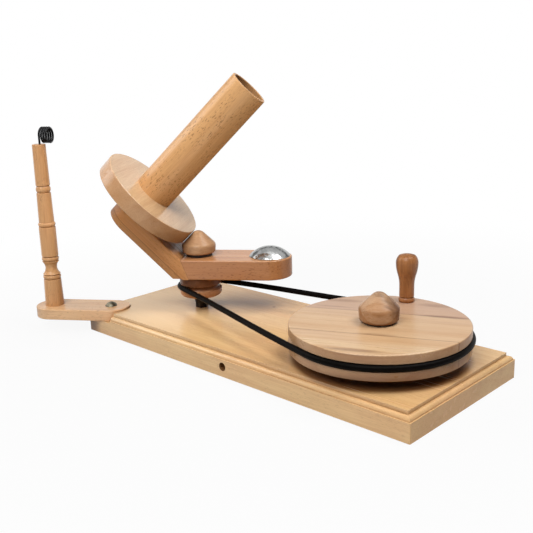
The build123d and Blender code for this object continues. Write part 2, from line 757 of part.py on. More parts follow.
with BuildPart() as guide_post:
    with BuildSketch(upright(post_foot_point)) as post_sketch:
        with BuildLine():
            Line((0, 0), (post_foot_radius, 0))
            Line((post_foot_radius, 0), (post_foot_top, post_foot_height))
            height, valley, bead_head = turned_ring(post_foot_height, post_foot_top, post_ring_height)
            cove_top = height + post_cove_height
            Line((valley, bead_head), (post_foot_top, height))
            ThreePointArc(
                (post_foot_top, height),
                (post_cove_waist, (height + cove_top) / 2),
                (post_lower_radius, cove_top),
            )
            height, shaft = cove_top, post_lower_radius
            for ring_height, length, foot_radius, top_radius in post_shafts:
                height, valley, bead_head = turned_ring(height, shaft, ring_height)
                Line((valley, bead_head), (foot_radius, height))
                Line((foot_radius, height), (top_radius, height + length))
                height, shaft = height + length, top_radius
            Line((shaft, height), (0, height))
            Line((0, height), (0, 0))
        make_face()
        fillet(post_sketch.vertices().sort_by_distance((shaft, height))[0], post_tip_round)
    revolve(axis=Axis(post_foot_point, (0, 0, 1)))
    with BuildSketch(Plane(origin=post_foot_point)):
        Circle(tenon_radius)
    extrude(amount=-tenon_length)
    eye_side = guide_way.cross(up)
    stem_point = post_foot_point + up * height - guide_way * stem_offset - eye_side * stem_shift
    with BuildSketch(Plane(origin=stem_point)):
        Circle(wire_radius + seat_fit)
    extrude(amount=-stem_depth, mode=Mode.SUBTRACT)

# Wire eye: a stem out of the post, then a coil whose bore points at the winder
coil_start = stem_point + up * (eye_clear + wire_radius + eye_radius)
coil_center = coil_start + eye_side * eye_radius


def coil_knot(quarter):
    """Point and direction on the coil after a number of quarter turns."""
    angle = quarter * math.pi / 2
    climb = eye_pitch / (2 * math.pi)
    outward = up * math.sin(angle) - eye_side * math.cos(angle)
    onward = up * math.cos(angle) + eye_side * math.sin(angle)
    point = coil_center + outward * eye_radius - guide_way * (climb * angle)
    return point, (onward * eye_radius - guide_way * climb).normalized()


with BuildPart() as yarn_eye:
    with BuildLine() as eye_path:
        Line(stem_point - up * stem_depth, coil_start)
        knot, way = coil_start, up
        for quarter in range(1, eye_quarters + 1):
            next_knot, next_way = coil_knot(quarter)
            biarc(knot, way, next_knot, next_way)
            knot, way = next_knot, next_way
        Line(knot, knot + way * 2 * wire_radius)
    with BuildSketch(Plane(origin=stem_point - up * stem_depth, z_dir=up)):
        Circle(wire_radius)
    sweep()

# Least gap of the coil to itself, measured between points at least half a turn apart
coil_wire = eye_path.wire()
sample_step = wire_radius / 2
sample_count = int(coil_wire.length / sample_step)
samples = [coil_wire.position_at(i / sample_count) for i in range(sample_count + 1)]
half_turn = int(math.pi * eye_radius / sample_step)
self_gap = min(
    (samples[i] - samples[j]).length
    for i in range(len(samples))
    for j in range(i + half_turn, len(samples))
)
print(f"yarn_eye self gap {self_gap - 2 * wire_radius:.2f} mm over {coil_wire.length:.1f} mm of wire")

pieces = {
    "base_board": base_board,
    "wheel_axle": wheel_axle,
    "winder_axle": winder_axle,
    "axle_washers": axle_washers,
    "base_nuts": base_nuts,
    "wheel_spacer": wheel_spacer,
    "winder_spacer": winder_spacer,
    "wheel_cap_knob": wheel_cap_knob,
    "friction_knob": friction_knob,
    "knob_washers": knob_washers,
    "knob_inserts": knob_inserts,
    "drive_wheel": drive_wheel,
    "wheel_bush": wheel_bush,
    "handle_pin": handle_pin,
    "crank_handle": crank_handle,
    "drive_belt": drive_belt,
    "winder_pulley": winder_pulley,
    "pulley_screws": pulley_screws,
    "winder_arm": winder_arm,
    "winder_bush": winder_bush,
    "counterweight": counterweight,
    "tilt_board": tilt_board,
    "tilt_backing": tilt_backing,
    "spindle_bolt": spindle_bolt,
    "spindle_nut": spindle_nut,
    "spindle_washers": spindle_washers,
    "spindle_lock_nut": spindle_lock_nut,
    "flange_disc": flange_disc,
    "spindle_tube": spindle_tube,
    "spindle_bush": spindle_bush,
    "guide_plate": guide_plate,
    "guide_pivot_bolt": guide_pivot_bolt,
    "guide_nut": guide_nut,
    "guide_post": guide_post,
    "yarn_eye": yarn_eye,
}

for name, piece in pieces.items():
    piece.part.label = name
    export_step(piece.part, f"parts/{name}.step")
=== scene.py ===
"""Looks of a hand-cranked wooden yarn ball winder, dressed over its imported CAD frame."""

import logging
import math
from dataclasses import dataclass, field
from enum import Enum

import bmesh
import bpy
from mathutils import Matrix, Vector

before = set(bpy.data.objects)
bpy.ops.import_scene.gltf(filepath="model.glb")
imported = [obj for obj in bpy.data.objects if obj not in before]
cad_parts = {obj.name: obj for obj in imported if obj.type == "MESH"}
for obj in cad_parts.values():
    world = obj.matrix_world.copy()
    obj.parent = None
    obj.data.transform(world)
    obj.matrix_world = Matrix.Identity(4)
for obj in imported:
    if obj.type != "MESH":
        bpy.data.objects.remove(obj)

LOG = logging.getLogger("yarn_winder")

Triple = tuple[float, float, float]
Rgb = tuple[float, float, float]
Socket = bpy.types.NodeSocket
Feed = Socket | float | Triple

# How the pieces stand in the frame at rest.
ARM_TURN = math.radians(35.0)
HEAD_TILT = math.radians(45.0)
GUIDE_TURN = math.radians(214.0)
STAVE_TURN = math.radians(24.5)
UPWARD = (0.0, 0.0, 1.0)
SIDEWAYS = (0.0, 1.0, 0.0)

# Heights of the flat tops that carry marks, in metres.
BASE_TOP = 0.0265
WHEEL_TOP = 0.062

# How dark the dark parts of the wood are, as a share of the late wood's colour.
FIBRE_TONE = 0.72
END_TONE = 0.45
FLECK_TONE = 0.3
DIRT_AND_SHADE_TONE = 0.3
MARK_TONE = 0.24
# Red, green and blue darken by these powers of that share, so dark wood is redder.
TONE_POWERS = (0.9, 1.15, 1.35)
# How much brighter than the early wood rubbed edges and painted sheen patches are.
RUBBED_GAIN = 1.12
PAINTED_SHEEN_GAINS = (1.12, 1.2, 1.42)

# How far a face is turned where end grain comes in, a rim's tint goes and an underside ends.
END_FACING = (0.45, 0.98)
RIM_FACING = (0.2, 0.8)
UNDERSIDE_FACING = (-0.6, -0.1)

# Growth rings: how far they wave, in metres, and where in a ring the late wood comes and goes.
RING_WAVE = 0.035
LATE_WOOD_COMES = (0.2, 0.88)
LATE_WOOD_GOES = (0.9, 1.0)
# How strong the fine lines are, next to the streaks, and the clouds.
LINE_SHARE = 0.6
CLOUD_SHARE = 0.22

# How far each further board's figure is shifted and its seam's edge, in metres, and its darkness.
BOARD_SHIFT = (0.41, 0.07, 0.13)
SEAM_EDGE = (0.0003, 0.0013)
SEAM_DEPTH = 0.5
# A glue line's edge, in half widths, and how uneven a mark's outline is.
GLUE_EDGE = (0.5, 1.6)
MARK_UNEVENNESS = 1.3
MARK_DETAIL = 3.0

# Worn edges, corners with dirt and painted shade: reach in metres, and where they start and are
# full.
WEAR_REACH = 0.0014
WEAR_SAMPLES = 4
WEAR_BEND = (0.88, 0.99)
DIRT_AND_SHADE_REACH = 0.006
DIRT_AND_SHADE_SAMPLES = 6
DIRT_AND_SHADE_OPENNESS = (0.4, 0.9)

# The lacquer: how the figure changes its roughness, its shine on end grain, and its relief.
FIGURE_ROUGHNESS = 0.12
MEAN_FIGURE_ROUGHNESS = 0.05
END_SHINE = 0.35
FLECK_HEIGHT = -0.4
WOOD_RELIEF = 0.00005

# Plain finishes: the noise where their worn patches start and are full, and their noises' detail.
PATCH_LEVELS = (0.42, 0.75)
PATCH_DETAIL = 4.0
FINE_DETAIL = 2.0
DENT_DETAIL = 1.0

# How strong the finer layers of a noise are.
NOISE_ROUGHNESS = 0.55
# Sockets of Blender's Mix node: the share, then what is mixed.
MIX_NUMBERS = (0, 2, 3)
MIX_COLOURS = (0, 6, 7)
MIXED_NUMBER = 0
MIXED_COLOUR = 2


def srgb(red: int, green: int, blue: int) -> Rgb:
    """Turn a screen colour into the renderer's linear values, by the sRGB standard's curve.

    Args:
        red: Red from 0 to 255.
        green: Green from 0 to 255.
        blue: Blue from 0 to 255.

    Returns:
        The linear colour.
    """

    def straight(value: int) -> float:
        """One channel, made linear."""
        share = value / 255.0
        return share / 12.92 if share <= 0.04045 else ((share + 0.055) / 1.055) ** 2.4

    return straight(red), straight(green), straight(blue)


class Grain(Enum):
    """Which way the wood's fibres run in a piece."""

    ALONG_BASE = (1.0, 0.0, 0.0)
    UPRIGHT = UPWARD
    ALONG_ARM = (math.cos(ARM_TURN), math.sin(ARM_TURN), 0.0)
    ACROSS_ARM = (-math.sin(ARM_TURN), math.cos(ARM_TURN), 0.0)
    UP_HEAD = (
        -math.cos(ARM_TURN) * math.cos(HEAD_TILT),
        -math.sin(ARM_TURN) * math.cos(HEAD_TILT),
        math.sin(HEAD_TILT),
    )
    ALONG_SPINDLE = (
        math.cos(ARM_TURN) * math.sin(HEAD_TILT),
        math.sin(ARM_TURN) * math.sin(HEAD_TILT),
        math.cos(HEAD_TILT),
    )
    ALONG_STAVES = (math.cos(STAVE_TURN), math.sin(STAVE_TURN), 0.0)
    ALONG_GUIDE = (math.cos(GUIDE_TURN), math.sin(GUIDE_TURN), 0.0)


@dataclass(frozen=True)
class NoiseLayer:
    """Soft noise, stretched along the grain, and how it is eased into a mask.

    Attributes:
        along: Features per metre along the grain.
        across: Features per metre across it.
        detail: How many finer layers it has.
        low: The noise where the mask starts.
        high: The noise where the mask is full.
        twist: How far the noise is distorted.
        start: The mask's value up to low.
        end: The mask's value from high.
    """

    along: float
    across: float
    detail: float
    low: float = 0.0
    high: float = 1.0
    twist: float = 0.0
    start: float = 0.0
    end: float = 1.0

    @property
    def stretch(self) -> Triple:
        """Features per metre along each axis."""
        return self.along, self.across, self.across


STREAKS = NoiseLayer(3.0, 95.0, 5.0, low=0.34, high=0.72, twist=0.4)
LINES = NoiseLayer(7.0, 430.0, 2.0, low=0.5, high=0.74, twist=0.2)
CLOUDS = NoiseLayer(6.0, 17.0, 2.0, low=0.3, high=0.7)
RING_WAVES = NoiseLayer(3.2, 13.0, 2.0)
FIBRES = NoiseLayer(38.0, 1150.0, 3.0, low=0.25, high=0.75, end=0.3)
FLECKS = NoiseLayer(240.0, 820.0, 1.0, low=0.58, high=0.67)
FLECK_PATCHES = NoiseLayer(26.0, 70.0, 1.0, low=0.36, high=0.6)
WARM_PATCHES = NoiseLayer(7.0, 24.0, 3.0, low=0.42, high=0.72, twist=0.6, end=0.45)
RUBBED_PATCHES = NoiseLayer(40.0, 90.0, 3.0, low=0.35, high=0.6, start=0.25)


class NodeSheet:
    """A node tree, with short calls that add nodes and join them."""

    def __init__(self, tree: bpy.types.NodeTree) -> None:
        """Start with an empty tree.

        Args:
            tree: The node tree of a material or of the world.
        """
        self.tree = tree
        tree.nodes.clear()

    def node(self, kind: str, **settings: object) -> bpy.types.Node:
        """Add a node.

        Args:
            kind: Blender's name for the node type.
            settings: Properties to set on it.

        Returns:
            The new node.
        """
        made = self.tree.nodes.new(kind)
        for name, value in settings.items():
            setattr(made, name, value)
        return made

    def join(self, output: Socket, target: Socket) -> None:
        """Link one socket to another."""
        self.tree.links.new(output, target)

    def feed(self, target: Socket, value: Feed) -> None:
        """Give a socket a link or a plain value."""
        if isinstance(value, Socket):
            self.join(value, target)
        else:
            target.default_value = value

    def maths(self, operation: str, *values: Feed, clamp: bool = False) -> Socket:
        """Work out a number.

        Args:
            operation: Blender's name for the operation.
            values: Sockets or numbers, in order.
            clamp: Whether to keep the result from 0 to 1.

        Returns:
            The result's socket.
        """
        made = self.node("ShaderNodeMath", operation=operation, use_clamp=clamp)
        for target, value in zip(made.inputs, values):
            self.feed(target, value)
        return made.outputs[0]

    def vector(self, operation: str, *values: Feed, number: bool = False) -> Socket:
        """Work out a vector, or a number from vectors.

        Args:
            operation: Blender's name for the operation.
            values: Sockets or vectors, in order.
            number: Whether the result is a number, such as a distance.

        Returns:
            The result's socket.
        """
        made = self.node("ShaderNodeVectorMath", operation=operation)
        for target, value in zip(made.inputs, values):
            self.feed(target, value)
        return made.outputs["Value" if number else "Vector"]

    def part(self, vector: Socket, index: int) -> Socket:
        """One of a vector's three numbers."""
        made = self.node("ShaderNodeSeparateXYZ")
        self.join(vector, made.inputs[0])
        return made.outputs[index]

    def noise(
        self, place: Socket, stretch: Triple, detail: float, twist: float = 0.0
    ) -> Socket:
        """Soft noise, stretched along the axes.

        Args:
            place: The coordinates.
            stretch: Features per metre along each axis.
            detail: How many finer layers it has.
            twist: How far it is distorted.

        Returns:
            The noise, from 0 to 1.
        """
        made = self.node("ShaderNodeTexNoise")
        self.join(self.vector("MULTIPLY", place, stretch), made.inputs["Vector"])
        made.inputs["Scale"].default_value = 1.0
        made.inputs["Detail"].default_value = detail
        made.inputs["Roughness"].default_value = NOISE_ROUGHNESS
        made.inputs["Distortion"].default_value = twist
        return made.outputs[0]

    def step(
        self, value: Socket, low: float, high: float, start: float = 0.0, end: float = 1.0
    ) -> Socket:
        """Ease a number from one range into another, smoothly.

        Args:
            value: The number.
            low: Where the result is start.
            high: Where the result is end.
            start: The result at low.
            end: The result at high.

        Returns:
            The eased number.
        """
        made = self.node("ShaderNodeMapRange", interpolation_type="SMOOTHSTEP", clamp=True)
        for target, given in zip(made.inputs, (value, low, high, start, end)):
            self.feed(target, given)
        return made.outputs[0]

    def mask(self, place: Socket, layer: NoiseLayer) -> Socket:
        """A layer of noise, eased into its mask.

        Args:
            place: Coordinates with x along the grain.
            layer: The layer.

        Returns:
            The mask.
        """
        found = self.noise(place, layer.stretch, layer.detail, layer.twist)
        return self.step(found, layer.low, layer.high, layer.start, layer.end)

    def mix(self, share: Feed, first: Feed, second: Feed) -> Socket:
        """Mix two numbers.

        Args:
            share: How much of the second, from 0 to 1.
            first: A number or a socket.
            second: A number or a socket.

        Returns:
            The mixed number.
        """
        made = self.node("ShaderNodeMix")
        for index, value in zip(MIX_NUMBERS, (share, first, second)):
            self.feed(made.inputs[index], value)
        return made.outputs[MIXED_NUMBER]

    def blend(
        self, share: Feed, first: Socket | Rgb, second: Socket | Rgb, mode: str = "MIX"
    ) -> Socket:
        """Mix two colours.

        Args:
            share: How much of the second, from 0 to 1.
            first: A colour or a socket.
            second: A colour or a socket.
            mode: Blender's name for the blend.

        Returns:
            The mixed colour.
        """
        made = self.node("ShaderNodeMix", data_type="RGBA", blend_type=mode)
        full = [given if isinstance(given, Socket) else (*given, 1.0) for given in (first, second)]
        for index, value in zip(MIX_COLOURS, (share, *full)):
            self.feed(made.inputs[index], value)
        return made.outputs[MIXED_COLOUR]

    def ramp(self, value: Socket, stops: tuple[tuple[float, float], ...]) -> Socket:
        """A grey that follows a number from stop to stop.

        Args:
            value: The number, from 0 to 1.
            stops: The number and the grey at each stop, in order.

        Returns:
            The grey.
        """
        made = self.node("ShaderNodeValToRGB")
        self.join(value, made.inputs[0])
        elements = made.color_ramp.elements
        elements[0].position, elements[-1].position = stops[0][0], stops[-1][0]
        for position, _ in stops[1:-1]:
            elements.new(position)
        for element, (_, grey) in zip(elements, stops):
            element.color = (grey, grey, grey, 1.0)
        return made.outputs[0]


class MaterialSheet(NodeSheet):
    """A material's node tree around one principled surface."""

    def __init__(self, name: str) -> None:
        """Start a material.

        Args:
            name: The finish's name.
        """
        self.material = bpy.data.materials.new(name)
        self.material.use_nodes = True
        super().__init__(self.material.node_tree)
        self.surface = self.node("ShaderNodeBsdfPrincipled")
        self.output = self.node("ShaderNodeOutputMaterial")
        self.join(self.surface.outputs["BSDF"], self.output.inputs["Surface"])
        coordinates = self.node("ShaderNodeTexCoord")
        self.object_place = coordinates.outputs["Object"]
        self.object_normal = coordinates.outputs["Normal"]

    def give(self, name: str, value: Feed) -> None:
        """Give one of the surface's inputs a link or a plain value."""
        self.feed(self.surface.inputs[name], value)

    def facing(self, way: Triple) -> Socket:
        """How far the surface faces a direction, from -1 to 1."""
        return self.vector("DOT_PRODUCT", self.object_normal, way, number=True)

    def relief(self, height: Socket, depth: float) -> None:
        """Give the surface a relief, on top of any it has.

        Args:
            height: The relief, from 0 to 1.
            depth: Its depth in metres.
        """
        made = self.node("ShaderNodeBump")
        made.inputs["Strength"].default_value = 1.0
        made.inputs["Distance"].default_value = depth
        self.join(height, made.inputs["Height"])
        target = self.surface.inputs["Normal"]
        if target.is_linked:
            self.join(target.links[0].from_socket, made.inputs["Normal"])
        self.join(made.outputs["Normal"], target)


@dataclass(frozen=True)
class Board:
    """One more board that a piece is glued from.

    Attributes:
        start: Where it starts, across the grain, in metres from the origin.
        tone: How much darker it is than the board before it.
        warmth: How much redder it is than the board before it.
    """

    start: float
    tone: float
    warmth: float = 0.0


@dataclass(frozen=True)
class Mark:
    """A knot, a stain, a dark streak, painted shade or a painted sheen in the wood.

    Attributes:
        centre: Its middle, in metres.
        size: Its length along the grain and its two widths across it, in metres.
        depth: How strongly it shows, from 0 to 1.
        edge: How much of it is soft edge, from 0 to 1.
        painted_sheen: Whether it is a painted sheen, paler than the wood, not darker.
    """

    centre: Triple
    size: Triple
    depth: float = 0.8
    edge: float = 0.75
    painted_sheen: bool = False


@dataclass(frozen=True)
class GlueLine:
    """A thin line where two pieces are glued.

    Attributes:
        point: A point of the joint, in metres.
        normal: The joint's normal.
        half_width: Half the line's width in metres.
        depth: How dark it is, from 0 to 1.
    """

    point: Triple
    normal: Triple
    half_width: float
    depth: float


@dataclass(frozen=True)
class WoodFinish:
    """Lacquered wood with rings, streaks, fibres and flecks, worn along its edges.

    Attributes:
        name: The finish's name.
        pale: The early wood's colour.
        deep: The late wood's colour.
        blush: The colour of its warmer patches.
        grain: Which way the fibres run.
        heart: Where the tree's heart lies, across the grain, in metres.
        ring_gap: Distance between rings in metres.
        ring: How strongly the rings show.
        streak: How strongly the streaks show.
        fleck: How strongly the short dark flecks show.
        end_shade: How much darker the end grain is.
        rim_axis: Which way a turned disc or flat board faces, if its rim has another tone.
        rim_tint: What the rim's colour is multiplied by.
        rim_shade: How much of that tint the rim has; it is partly the wood's own tone, partly
            painted shade.
        boards: The boards it is glued from, after the first.
        marks: Its knots, stains, streaks and pale patches.
        glue_lines: Its visible joints.
        roughness: The lacquer's roughness.
        wear: How pale the worn edges are.
        grime_and_shade: How dark the corners are, as dirt and painted shade.
        shine: The lacquer's shine, 0.5 for a plain clear coat; end grain has less, undersides none.
    """

    name: str
    pale: Rgb
    deep: Rgb
    blush: Rgb
    grain: Grain
    heart: tuple[float, float]
    ring_gap: float
    ring: float
    streak: float
    fleck: float
    end_shade: float = 0.3
    rim_axis: Triple = UPWARD
    rim_tint: Rgb = (0.64, 0.49, 0.38)
    rim_shade: float = 0.0
    boards: tuple[Board, ...] = ()
    marks: tuple[Mark, ...] = ()
    glue_lines: tuple[GlueLine, ...] = ()
    roughness: float = 0.3
    wear: float = 0.35
    grime_and_shade: float = 0.6
    shine: float = 0.3

    def axes(self) -> tuple[Vector, Vector, Vector]:
        """The grain's direction and two directions across it."""
        along = Vector(self.grain.value).normalized()
        helper = Vector(UPWARD if self.grain is not Grain.UPRIGHT else SIDEWAYS)
        across = helper.cross(along).normalized()
        return along, across, along.cross(across)

    def darker(self, share: float) -> Rgb:
        """The late wood's colour, darkened to about a share of itself, and redder."""
        return tuple(channel * share**power for channel, power in zip(self.deep, TONE_POWERS))

    def brighter(self, *gains: float) -> Rgb:
        """The early wood's colour with its channels raised."""
        return tuple(min(1.0, channel * gain) for channel, gain in zip(self.pale, gains))

    def grain_place(self, sheet: MaterialSheet) -> Socket:
        """Coordinates with x along the grain.

        Args:
            sheet: The material's sheet.

        Returns:
            The coordinates.
        """
        mapping = sheet.node("ShaderNodeMapping", vector_type="POINT")
        sheet.join(sheet.object_place, mapping.inputs["Vector"])
        mapping.inputs["Rotation"].default_value = Matrix(self.axes()).to_euler("XYZ")
        return mapping.outputs[0]

    def split_boards(self, sheet: MaterialSheet, place: Socket) -> tuple[Socket, Feed, Feed, Feed]:
        """Give every board its own wood.

        Args:
            sheet: The material's sheet.
            place: Coordinates with x along the grain.

        Returns:
            The boards' own coordinates, their darkness, their warmth and the seams' mask.
        """
        across = sheet.part(place, 1)
        own, tone, warmth, seam = place, 0.0, 0.0, 0.0
        for board in self.boards:
            past = sheet.maths("GREATER_THAN", across, board.start)
            own = sheet.vector("MULTIPLY_ADD", past, BOARD_SHIFT, own)
            tone = sheet.maths("MULTIPLY_ADD", past, board.tone, tone)
            warmth = sheet.maths("MULTIPLY_ADD", past, board.warmth, warmth)
            away = sheet.maths("ABSOLUTE", sheet.maths("SUBTRACT", across, board.start))
            seam = sheet.maths("ADD", sheet.step(away, *SEAM_EDGE, SEAM_DEPTH, 0.0), seam)
        return own, tone, warmth, seam

    def rings(self, sheet: MaterialSheet, place: Socket) -> Socket:
        """Growth rings around the heart, a little wavy.

        Args:
            sheet: The material's sheet.
            place: The board's own coordinates, with x along the grain.

        Returns:
            The rings, 1 in the late wood.
        """
        centred = sheet.vector("SUBTRACT", place, (0.0, *self.heart))
        flat = sheet.vector("MULTIPLY", centred, (0.0, 1.0, 1.0))
        waves = sheet.noise(place, RING_WAVES.stretch, RING_WAVES.detail)
        wave = sheet.maths("MULTIPLY", waves, RING_WAVE)
        reach = sheet.maths("ADD", sheet.vector("LENGTH", flat, number=True), wave)
        turn = sheet.maths("FRACT", sheet.maths("DIVIDE", reach, self.ring_gap))
        late = sheet.step(turn, *LATE_WOOD_COMES)
        return sheet.maths("MULTIPLY", late, sheet.step(turn, *LATE_WOOD_GOES, 1.0, 0.0))

    def figure(self, sheet: MaterialSheet, place: Socket, tone: Feed) -> Socket:
        """The wood's light and dark.

        Args:
            sheet: The material's sheet.
            place: The board's own coordinates, with x along the grain.
            tone: The board's own darkness.

        Returns:
            The figure, from 0 in the pale wood to 1 in the dark.
        """
        found = sheet.maths("MULTIPLY_ADD", self.rings(sheet, place), self.ring, tone)
        for layer, share in ((STREAKS, self.streak), (LINES, self.streak * LINE_SHARE)):
            found = sheet.maths("MULTIPLY_ADD", sheet.mask(place, layer), share, found)
        clouds = sheet.mask(place, CLOUDS)
        return sheet.maths("MULTIPLY_ADD", clouds, CLOUD_SHARE, found, clamp=True)

    def glue_masks(self, sheet: MaterialSheet) -> list[tuple[Socket, Rgb]]:
        """The glue lines.

        Args:
            sheet: The material's sheet.

        Returns:
            A mask and a colour for each.
        """
        masks = []
        for line in self.glue_lines:
            normal = Vector(line.normal).normalized()
            along = sheet.vector("DOT_PRODUCT", sheet.object_place, tuple(normal), number=True)
            offset = sheet.maths("SUBTRACT", along, normal.dot(Vector(line.point)))
            edge = (line.half_width * share for share in GLUE_EDGE)
            mask = sheet.step(sheet.maths("ABSOLUTE", offset), *edge, line.depth, 0.0)
            masks.append((mask, self.darker(MARK_TONE)))
        return masks

    def mark_masks(self, sheet: MaterialSheet, place: Socket) -> list[tuple[Socket, Rgb]]:
        """The marks.

        Args:
            sheet: The material's sheet.
            place: Coordinates with x along the grain.

        Returns:
            A mask and a colour for each.
        """
        masks = []
        for mark in self.marks:
            middle = tuple(Matrix(self.axes()) @ Vector(mark.centre))
            closer = tuple(2.0 / extent for extent in mark.size)
            uneven = tuple(MARK_UNEVENNESS / extent for extent in mark.size)
            offset = sheet.vector("MULTIPLY", sheet.vector("SUBTRACT", place, middle), closer)
            reach = sheet.vector("LENGTH", offset, number=True)
            shake = sheet.noise(place, uneven, MARK_DETAIL)
            away = sheet.maths("MULTIPLY_ADD", shake, mark.edge, reach)
            half = mark.edge * 0.5
            mask = sheet.step(away, 1.0 - half, 1.0 + half, mark.depth, 0.0)
            painted_sheen = self.brighter(*PAINTED_SHEEN_GAINS)
            masks.append((mask, painted_sheen if mark.painted_sheen else self.darker(MARK_TONE)))
        return masks

    def age_and_shade(self, sheet: MaterialSheet, place: Socket, colour: Socket) -> Socket:
        """Rub the lacquer pale along the edges and darken the corners with dirt and painted shade.

        Args:
            sheet: The material's sheet.
            place: Coordinates with x along the grain.
            colour: The wood's colour.

        Returns:
            The aged colour.
        """
        rounded = sheet.node("ShaderNodeBevel", samples=WEAR_SAMPLES)
        rounded.inputs["Radius"].default_value = WEAR_REACH
        plain = sheet.node("ShaderNodeNewGeometry").outputs["Normal"]
        bend = sheet.vector("DOT_PRODUCT", rounded.outputs[0], plain, number=True)
        worn = sheet.step(bend, *WEAR_BEND, self.wear, 0.0)
        rubbed = sheet.maths("MULTIPLY", worn, sheet.mask(place, RUBBED_PATCHES))
        colour = sheet.blend(rubbed, colour, self.brighter(*(RUBBED_GAIN,) * 3))
        # Painted shade: corners and creases darkened by local occlusion, together with the dirt
        # there.
        hollow = sheet.node("ShaderNodeAmbientOcclusion", samples=DIRT_AND_SHADE_SAMPLES, only_local=True)
        hollow.inputs["Distance"].default_value = DIRT_AND_SHADE_REACH
        dirt_and_shade = sheet.step(hollow.outputs["AO"], *DIRT_AND_SHADE_OPENNESS, self.grime_and_shade, 0.0)
        return sheet.blend(dirt_and_shade, colour, self.darker(DIRT_AND_SHADE_TONE))

    def lacquer(self, sheet: MaterialSheet, figure: Socket, endwise: Socket) -> None:
        """Coat the wood.

        Args:
            sheet: The material's sheet.
            figure: The wood's light and dark.
            endwise: How far the surface is end grain, from 0 to 1.
        """
        even = self.roughness - MEAN_FIGURE_ROUGHNESS
        sheet.give("Roughness", sheet.maths("MULTIPLY_ADD", figure, FIGURE_ROUGHNESS, even))
        coat = sheet.step(endwise, *END_FACING, self.shine, self.shine * END_SHINE)
        above = sheet.step(sheet.facing(UPWARD), *UNDERSIDE_FACING)
        sheet.give("Specular IOR Level", sheet.maths("MULTIPLY", coat, above))

    def material(self) -> bpy.types.Material:
        """Make the wood.

        Returns:
            The material.
        """
        sheet = MaterialSheet(self.name)
        place = self.grain_place(sheet)
        own, tone, warmth, seam = self.split_boards(sheet, place)
        figure = self.figure(sheet, own, tone)
        colour = sheet.blend(figure, self.pale, self.deep)
        warm = sheet.maths("ADD", sheet.mask(own, WARM_PATCHES), warmth, clamp=True)
        colour = sheet.blend(warm, colour, self.blush)
        fibres = sheet.noise(own, FIBRES.stretch, FIBRES.detail)
        dark = sheet.step(fibres, FIBRES.low, FIBRES.high, FIBRES.start, FIBRES.end)
        colour = sheet.blend(dark, colour, self.darker(FIBRE_TONE))
        endwise = sheet.maths("ABSOLUTE", sheet.facing(tuple(self.axes()[0])))
        end = sheet.step(endwise, *END_FACING, 0.0, self.end_shade)
        colour = sheet.blend(end, colour, self.darker(END_TONE))
        # Partly painted shade: rims and sides take a darker, redder tint than the faces, besides
        # the wood's own rim tone.
        if self.rim_shade:
            turned = sheet.maths("ABSOLUTE", sheet.facing(self.rim_axis))
            rim = sheet.step(turned, *RIM_FACING, self.rim_shade, 0.0)
            colour = sheet.blend(rim, colour, self.rim_tint, "MULTIPLY")
        flecks = sheet.maths("MULTIPLY", sheet.mask(own, FLECKS), sheet.mask(own, FLECK_PATCHES))
        shown = sheet.maths("MULTIPLY", flecks, self.fleck)
        colour = sheet.blend(shown, colour, self.darker(FLECK_TONE))
        for mask, tint in [*self.glue_masks(sheet), *self.mark_masks(sheet, place)]:
            colour = sheet.blend(mask, colour, tint)
        if self.boards:
            colour = sheet.blend(seam, colour, self.darker(MARK_TONE))
        sheet.give("Base Color", self.age_and_shade(sheet, place, colour))
        self.lacquer(sheet, figure, endwise)
        sheet.relief(sheet.maths("MULTIPLY_ADD", flecks, FLECK_HEIGHT, fibres), WOOD_RELIEF)
        return sheet.material


@dataclass(frozen=True)
class PlainFinish:
    """Rubber, enamel or metal with a fine unevenness.

    Attributes:
        name: The finish's name.
        colour: Its main colour.
        worn: Its colour in worn or dusty patches.
        metallic: 1 for bare metal.
        roughness: Its mean roughness.
        spread: How far the roughness varies.
        speckle: Patches per metre.
        depth: Depth of the fine relief in metres.
        specular: The shine of what isn't metal, 0.5 for plain plastic.
        dent_depth: Depth of its shallow dents in metres.
        fine_scale: How many times finer than the patches the unevenness is.
        dent_scale: How many times finer than the patches the dents are.
    """

    name: str
    colour: Rgb
    worn: Rgb
    metallic: float
    roughness: float
    spread: float = 0.12
    speckle: float = 140.0
    depth: float = 0.00003
    specular: float = 0.5
    dent_depth: float = 0.0
    fine_scale: float = 14.0
    dent_scale: float = 3.0

    def material(self) -> bpy.types.Material:
        """Make the finish.

        Returns:
            The material.
        """
        sheet = MaterialSheet(self.name)
        patches = sheet.noise(sheet.object_place, (self.speckle,) * 3, PATCH_DETAIL)
        share = sheet.step(patches, *PATCH_LEVELS)
        sheet.give("Base Color", sheet.blend(share, self.colour, self.worn))
        finely = (self.speckle * self.fine_scale,) * 3
        fine = sheet.noise(sheet.object_place, finely, FINE_DETAIL)
        smoothest = self.roughness - self.spread * 0.5
        sheet.give("Roughness", sheet.maths("MULTIPLY_ADD", fine, self.spread, smoothest))
        sheet.give("Metallic", self.metallic)
        sheet.give("Specular IOR Level", self.specular)
        if self.dent_depth:
            dented = (self.speckle * self.dent_scale,) * 3
            dents = sheet.noise(sheet.object_place, dented, DENT_DETAIL)
            sheet.relief(dents, self.dent_depth)
        sheet.relief(fine, self.depth)
        return sheet.material


ZINC = PlainFinish("zinc_plate", srgb(186, 184, 178), srgb(142, 138, 130), 1.0, 0.38)
DARK_STEEL = PlainFinish("blackened_steel", srgb(34, 29, 26), srgb(62, 54, 46), 1.0, 0.45)
BRASS = PlainFinish("bearing_brass", srgb(204, 172, 100), srgb(150, 116, 60), 1.0, 0.34)


